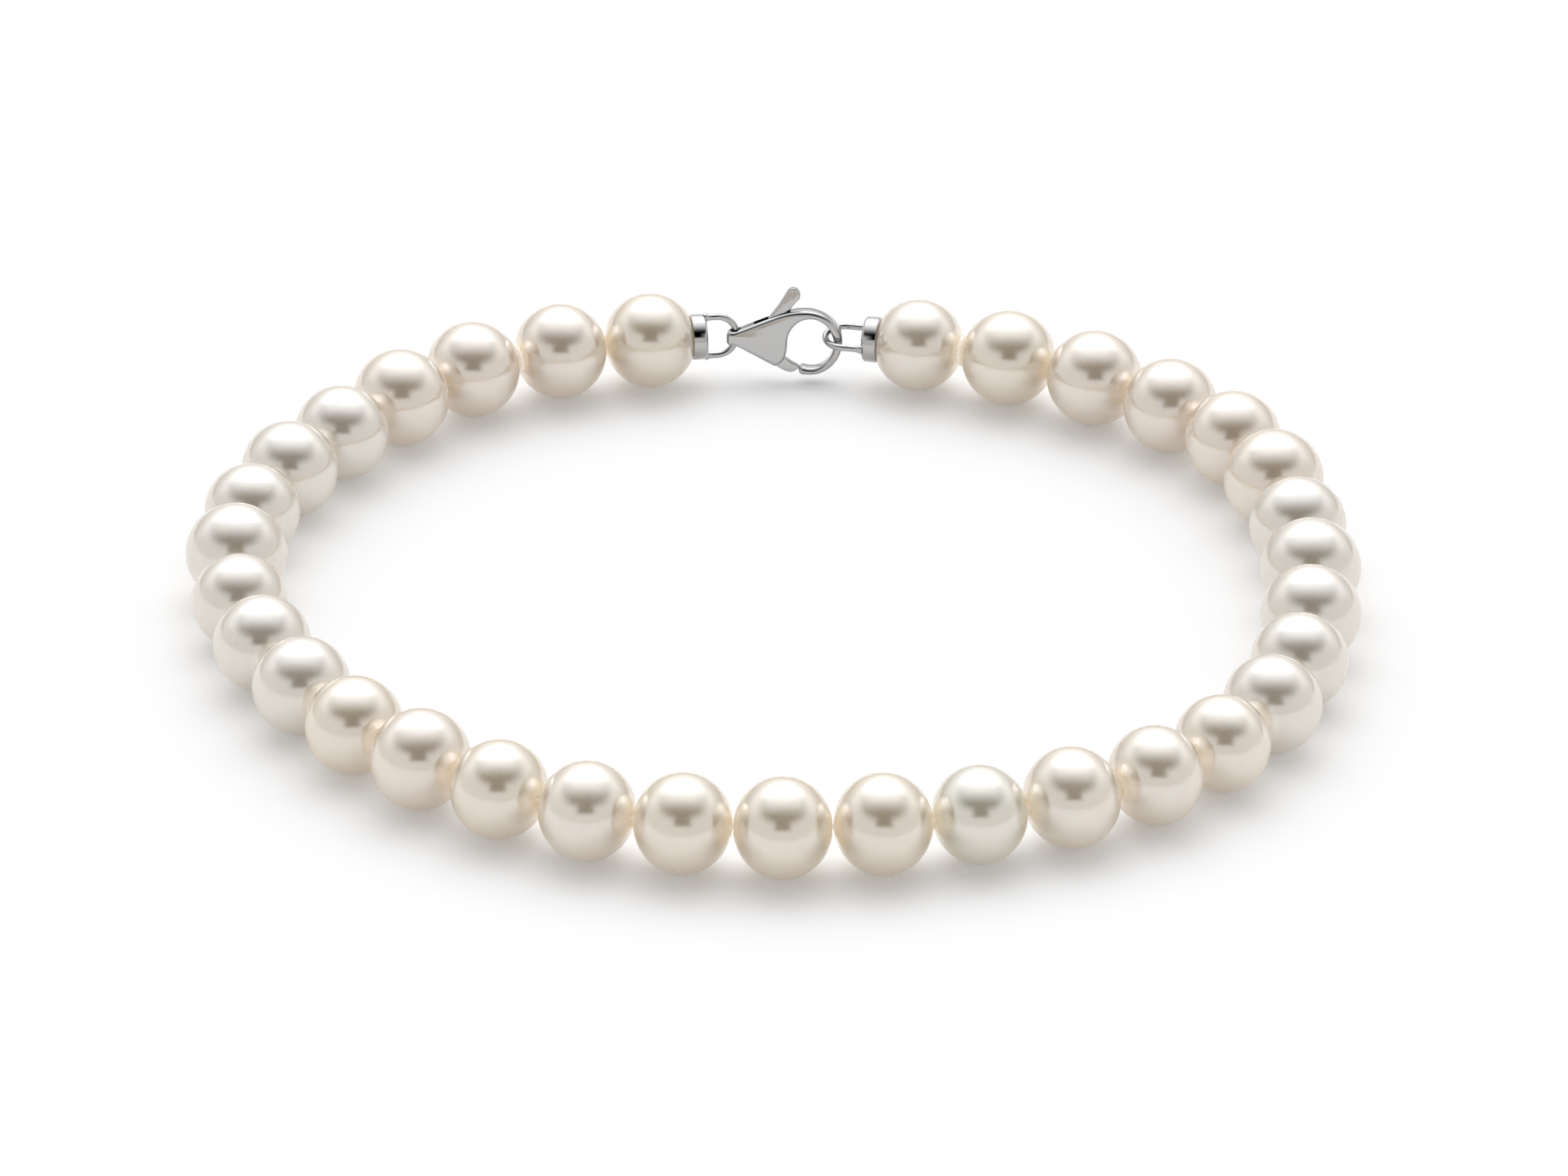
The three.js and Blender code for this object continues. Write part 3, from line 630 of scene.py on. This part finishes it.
metal, tree, shader = start_finish("polished_white_metal")
place = add_node(tree, "ShaderNodeTexCoord").outputs["Object"]
drawn = add_node(tree, "ShaderNodeMapping", {"Vector": place, "Scale": HAIRLINE_SHAPE})
hairlines = add_node(tree, "ShaderNodeTexNoise", {
    "Vector": drawn, "Scale": 1 / HAIRLINE_SIZE, "Detail": 2.0,
})
wear = add_node(tree, RANGE, {
    "Value": hairlines.outputs["Fac"], "To Min": 0.05, "To Max": 0.11,
}).outputs["Result"]
scratch = add_node(tree, "ShaderNodeBump", {
    "Height": hairlines.outputs["Fac"], "Distance": HAIRLINE_DEPTH,
})
tree.links.new(wear, shader.inputs["Roughness"])
tree.links.new(scratch.outputs["Normal"], shader.inputs["Normal"])
shader.inputs["Base Color"].default_value = linear("#B9B8B7")
shader.inputs["Metallic"].default_value = 1.0
print("hairlines drawn", round(HAIRLINE_SIZE / MM, 2), "mm wide")

# %% [markdown]
# ## End caps
# An end cap is a shallow cup that sits on the last pearl, with a wire loop soldered to its
# closed end. The cup is a turned shape, so its outline is spun round the string. The loop is a
# D of round wire, a little thicker at its feet, where the solder has run up.

# %% Helpers for turned shapes and wires
FINE_WELD = 0.0005  # in mm


def arc(centre, radius, start, end, steps=8):
    """Points of a circle's arc between two bearings in degrees."""
    angles = [math.radians(start + (end - start) * step / steps) for step in range(steps + 1)]
    return [(centre[0] + radius * math.cos(a), centre[1] + radius * math.sin(a)) for a in angles]


def turned(profile, sides):
    """Spins an outline of (out, along) round the Y axis into a closed shape."""
    shape = bmesh.new()
    rings = []
    for out_by, along_by in profile:
        angles = [2 * math.pi * side / sides for side in range(sides)]
        ring = [(out_by * math.cos(a), along_by, out_by * math.sin(a)) for a in angles]
        rings.append([shape.verts.new(spot) for spot in ring])
    for ring, after in zip(rings, rings[1:]):
        for side in range(sides):
            turn_on = (side + 1) % sides
            shape.faces.new((ring[side], ring[turn_on], after[turn_on], after[side]))
    bmesh.ops.remove_doubles(shape, verts=shape.verts, dist=FINE_WELD * MM)
    bmesh.ops.recalc_face_normals(shape, faces=shape.faces)
    mesh = bpy.data.meshes.new("turned")
    shape.to_mesh(mesh)
    shape.free()
    return mesh


def wire(points, thickness, diameter):
    """A round wire through points, with a share of its diameter at each."""
    data = bpy.data.curves.new("wire", "CURVE")
    data.dimensions = "3D"
    data.bevel_depth = diameter / 2
    data.bevel_resolution = 6
    data.use_fill_caps = True
    spline = data.splines.new("POLY")
    spline.points.add(len(points) - 1)
    for point, spot, share in zip(spline.points, points, thickness):
        point.co = (*spot, 1.0)
        point.radius = share
    return plain_mesh(add_object("holder", data))


def piece_of(name, meshes, place, finish, edge=35):
    """Joins meshes into one piece at its place, smooth up to an edge angle in degrees."""
    shape = bmesh.new()
    for mesh in meshes:
        shape.from_mesh(mesh)
    bmesh.ops.triangulate(shape, faces=[face for face in shape.faces if len(face.verts) > 4])
    for face in shape.faces:
        face.smooth = True
    shape.transform(place)
    mesh = bpy.data.meshes.new(name)
    shape.to_mesh(mesh)
    shape.free()
    mesh.set_sharp_from_angle(angle=math.radians(edge))
    mesh.materials.clear()
    mesh.materials.append(finish)
    return add_object(name, mesh)


def frame_matrix(x, y, z, origin, scale=1.0):
    """The matrix that puts a shape's own axes along x, y and z, with its zero at origin."""
    turned_axes = Matrix((x, y, z)).transposed().to_4x4()
    return Matrix.Translation(origin) @ turned_axes @ Matrix.Scale(scale, 4)


# %% Sizes and outlines of an end cap
CAP_RADIUS = 1.28 * MM
CAP_RIM = 0.08 * MM
CAP_ROUND = 0.2 * MM
CAP_HOLE = 0.23 * MM
CAP_SIDES = 72
SEAT_STEPS = 10
HOLE_SPARE = 0.08 * MM
LOOP_WIDTH = 2.6 * MM
LOOP_STEPS = 40
LEG_STEPS = 10
LEG_SUNK = 0.1 * MM
FOOT = 0.3 * MM
FOOT_SWELL = 0.45


def pole_drop(index, out_by):
    """How far a pearl's skin lies behind its pole, at a distance out from the string."""
    half = lengths[index] / 2
    return half - half * math.sqrt(1 - (2 * out_by / across[index]) ** 2)


def cap_profile(index):
    """From the blind hole for the thread, over the seat on the pearl, to the closed end."""
    rim_inner = CAP_RADIUS - CAP_RIM
    seat = [CAP_HOLE + (rim_inner - CAP_HOLE) * step / SEAT_STEPS for step in range(SEAT_STEPS + 1)]
    rim = -pole_drop(index, rim_inner)
    lip = CAP_RIM / 2
    corner = CAP_RADIUS - CAP_ROUND
    hole_end = INTO_CAP + HOLE_SPARE
    return (
        [(0, hole_end), (CAP_HOLE, hole_end)]
        + [(out_by, -pole_drop(index, out_by)) for out_by in seat]
        + arc((rim_inner + lip, rim), lip, -180, 0)
        + arc((corner, CAP_FLOOR - CAP_ROUND), CAP_ROUND, 0, 90)
        + [(0, CAP_FLOOR)]
    )


def loop_points(reach):
    """The D loop: a leg, half a turn and a leg, and the wire's share of its diameter there."""
    middle = (LOOP_WIDTH - WIRE_DIAMETER) / 2
    straight = reach - LOOP_WIDTH / 2
    legs = [straight * step / LEG_STEPS - LEG_SUNK * (1 - step / LEG_STEPS) for step in range(LEG_STEPS)]
    half_turn = arc((0, straight), middle, 0, 180, LOOP_STEPS)
    line = [(middle, leg) for leg in legs] + half_turn + [(-middle, leg) for leg in reversed(legs)]
    shares = [1 + FOOT_SWELL * max(0.0, 1 - max(0.0, y) / FOOT) ** 2 for x, y in line]
    return [(x, y + CAP_FLOOR, 0) for x, y in line], shares


def end_cap(name, index, way_out, pole, legs_apart, reach):
    """Makes one end cap in its place on the end pearl."""
    apart = (legs_apart - way_out * legs_apart.dot(way_out)).normalized()
    place = frame_matrix(apart, way_out, apart.cross(way_out), pole)
    points, shares = loop_points(reach)
    cup = turned(cap_profile(index), CAP_SIDES)
    loop = wire(points, shares, WIRE_DIAMETER)
    cap = piece_of(name + "_polished", [cup, loop], place, metal)
    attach(cap, "bracelet")
    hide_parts(name)


print("a cup", round(2 * CAP_RADIUS / MM, 2), "mm wide with a loop of", round(LOOP_WIDTH / MM, 2), "mm")

# %% [markdown]
# ## Lobster claw
# The claw is a cast plate with rounded edges: a drilled eye at the left, a body, and a ring
# whose open mouth a spring lever closes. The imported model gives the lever's hinge, and the
# claw's own axes follow from it. Flat outlines are drawn in these axes in millimetres. A
# curve object fills each outline and rounds its rim, and boolean cutters open eye and slot.
# The end caps are placed here too, because their loops stand as the claw does.

# %% The claw's own axes, and the end caps
CLAW_REACH = 6.02
CLAW_HEIGHT = 3.72
RIVET = (0.322, -0.196)
LOOP_TILT = math.radians(6)


def at(along_by, up_by):
    """A point of the claw's face, in mm, from shares of its reach and height."""
    return (along_by * CLAW_REACH, up_by * CLAW_HEIGHT)


hinge = frame["joints"][0]
claw_out = Vector(hinge["axis"]).normalized()
claw_along = Vector((-claw_out.y, claw_out.x, 0)).normalized()
claw_up = claw_out.cross(claw_along)
rivet_x, rivet_y = at(*RIVET)
claw_origin = Vector(hinge["pos_m"]) - (rivet_x * claw_along + rivet_y * claw_up) * MM
claw_place = frame_matrix(claw_along, claw_up, claw_out, claw_origin, MM)
across_clasp = claw_along.cross(UPRIGHT)
level_legs = Matrix.Rotation(LOOP_TILT, 3, claw_along) @ across_clasp
end_cap("end_cap_left", 0, left_way, left_pole, claw_up, LEFT_REACH)
end_cap("end_cap_right", PEARL_COUNT - 1, right_way, right_pole, level_legs, RIGHT_REACH)
print("claw leans back by", round(math.degrees(math.asin(claw_out.z)), 1), "degrees")

# %% Helpers for the claw's outlines
def bend(start, pull, end, steps=14):
    """Points of a smooth bend from start to end, drawn towards pull."""
    first, middle, last = Vector(start), Vector(pull), Vector(end)
    shares = [step / steps for step in range(steps + 1)]
    return [tuple(first.lerp(middle, s).lerp(middle.lerp(last, s), s)) for s in shares]


def sweep(centre, half_along, half_up, start, end, steps=40):
    """Points of an oval's arc between two bearings in degrees."""
    circle = arc((0, 0), 1, start, end, steps)
    return [(centre[0] + x * half_along, centre[1] + y * half_up) for x, y in circle]


def plate(outline, thickness, edge):
    """A flat plate with a rounded rim, in mm, centred on z = 0."""
    data = bpy.data.curves.new("plate", "CURVE")
    data.dimensions = "2D"
    data.fill_mode = "BOTH"
    data.extrude = thickness / 2 - edge
    data.bevel_depth = edge
    data.bevel_resolution = 5
    data.offset = -edge
    spline = data.splines.new("POLY")
    spline.points.add(len(outline) - 1)
    for point, (x, y) in zip(spline.points, outline):
        point.co = (x, y, 0, 1)
    spline.use_cyclic_u = True
    shape = bmesh.new()
    shape.from_mesh(plain_mesh(add_object("holder", data)))
    bmesh.ops.remove_doubles(shape, verts=shape.verts, dist=FINE_WELD)
    bmesh.ops.recalc_face_normals(shape, faces=shape.faces)
    mesh = bpy.data.meshes.new("plate")
    shape.to_mesh(mesh)
    shape.free()
    return mesh


def pin(diameter, length, place, sides=48):
    """A round pin or drill along Z, in mm."""
    shape = bmesh.new()
    bmesh.ops.create_cone(shape, cap_ends=True, segments=sides, depth=length,
                          radius1=diameter / 2, radius2=diameter / 2, matrix=place)
    mesh = bpy.data.meshes.new("pin")
    shape.to_mesh(mesh)
    shape.free()
    return mesh


def cut(blank, cutters):
    """A blank with each cutter's shape taken out of it."""
    holder = add_object("holder", blank)
    tools = [add_object("cutter", cutter) for cutter in cutters]
    for tool in tools:
        taken = holder.modifiers.new("cut", "BOOLEAN")
        taken.operation = "DIFFERENCE"
        taken.solver = "EXACT"
        taken.object = tool
    mesh = plain_mesh(holder)
    for tool in tools:
        bpy.data.objects.remove(tool)
    return mesh


# %% Claw body
CLAW_THICKNESS = 1.06
CLAW_EDGE = 0.22
EYE_HEIGHT = 0.8
EYE_BORE = 0.62
EYE_END = -0.48
EYE_CORNER = 0.24
RING_WIDTH = 0.51
SLOT_WIDTH = 0.52
LEVER_ROOM = 1.1
RIVET_DIAMETER = 0.44
RIVET_LENGTH = 0.72
TIP_ALONG = 3.8
TIP_LIFT = 0.012
TIP_ROUND = 0.23
MOUTH_AT = at(0.701, -0.061)
MOUTH_HALF_UP = 0.383 * CLAW_HEIGHT
MOUTH_HALF_ALONG = CLAW_REACH - RING_WIDTH - MOUTH_AT[0]

# the outline runs round the claw from its eye; at() takes shares, and other pairs are in mm
top = at(0.653, 0.452)
side = at(1, -0.026)
bottom = at(0.694, -0.548)
eye_half = EYE_HEIGHT / 2
corner_x = EYE_END + EYE_CORNER
tip = (TIP_ALONG, bottom[1] + TIP_LIFT + TIP_ROUND)
claw_outline = (
    sweep((corner_x, -eye_half + EYE_CORNER), EYE_CORNER, EYE_CORNER, -90, -180, 8)
    + sweep((corner_x, eye_half - EYE_CORNER), EYE_CORNER, EYE_CORNER, 180, 90, 8)
    + bend((-0.12, eye_half), (0.0, eye_half), (0.3, eye_half + 0.124), 6)
    + bend(at(0.377, 0.360), at(0.516, 0.452), top)
    + sweep((top[0], side[1]), side[0] - top[0], top[1] - side[1], 88, 0)
    + sweep((bottom[0], side[1]), side[0] - bottom[0], side[1] - bottom[1], -2, -90)
    + sweep(tip, TIP_ROUND, TIP_ROUND, -95, -265, 14)
    + sweep(MOUTH_AT, MOUTH_HALF_ALONG, MOUTH_HALF_UP, -100, 184, 90)
    + bend((2.93, -0.36), (2.915, -0.62), (2.855, -0.84), 6)
    + bend(at(0.473, -0.235), at(0.455, -0.371), at(0.370, -0.423))
    + bend((0.25, -eye_half - 0.132), (0.0, -eye_half), (-0.12, -eye_half), 6)
)
slot_outline = [at(*share) for share in (
    (0.160, 0.440), (0.160, 0.330), (0.228, -0.235), (0.289, -0.339), (0.322, -0.520),
    (0.560, -0.560), (0.560, -0.250), (0.488, -0.144), (0.421, -0.026), (0.463, 0.196),
    (0.524, 0.490),
)]
upright_drill = Matrix.Rotation(math.pi / 2, 4, "X")
rivet_place = Matrix.Translation((rivet_x, rivet_y, 0))
claw_blank = plate(claw_outline, CLAW_THICKNESS, CLAW_EDGE)
slot_cutter = plate(slot_outline, SLOT_WIDTH, 0.0)
eye_drill = pin(EYE_BORE, 2 * EYE_HEIGHT, upright_drill)
lever_room = pin(LEVER_ROOM, SLOT_WIDTH, rivet_place)
claw_mesh = cut(claw_blank, [slot_cutter, lever_room, eye_drill])
rivet_mesh = pin(RIVET_DIAMETER, RIVET_LENGTH, rivet_place)
claw = piece_of("clasp_body_polished", [claw_mesh, rivet_mesh], claw_place, metal)
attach(claw, "bracelet")
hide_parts("clasp_body")
print("claw body with", len(claw.data.polygons), "faces")

# %% Lever
LEVER_THICKNESS = 0.44
LEVER_EDGE = 0.07
TAB_RADIUS = 0.41
LEVER_EYE = 0.45
LEVER_BORE = 0.52

tab = at(0.536, 0.682)
lever_outline = (
    [at(0.311, 0.331), at(0.401, 0.524)]
    + sweep(tab, TAB_RADIUS, TAB_RADIUS, 160, -45, 28)
    + bend((3.50, 2.23), (3.33, 2.06), at(0.510, 0.454))
    + bend(at(0.482, 0.420), at(0.440, 0.235), at(0.400, 0))
    + bend(at(0.405, -0.157), at(0.461, -0.321), at(0.575, -0.405))
    + bend(at(0.596, -0.428), at(0.612, -0.446), at(0.596, -0.464), 6)
    + bend(at(0.570, -0.488), at(0.544, -0.527), at(0.504, -0.522))
    + bend(at(0.463, -0.504), at(0.42, -0.47), at(0.390, -0.441), 6)
    + sweep((rivet_x, rivet_y), LEVER_EYE, LEVER_EYE, -120, -195, 16)
)
lever_blank = plate(lever_outline, LEVER_THICKNESS, LEVER_EDGE)
lever_drill = pin(LEVER_BORE, 2 * LEVER_THICKNESS, rivet_place)
lever_mesh = cut(lever_blank, [lever_drill])
lever = piece_of("clasp_lever_polished", [lever_mesh], claw_place, metal)
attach(lever, "lever")
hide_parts("clasp_lever")
print("lever with", len(lever.data.polygons), "faces")
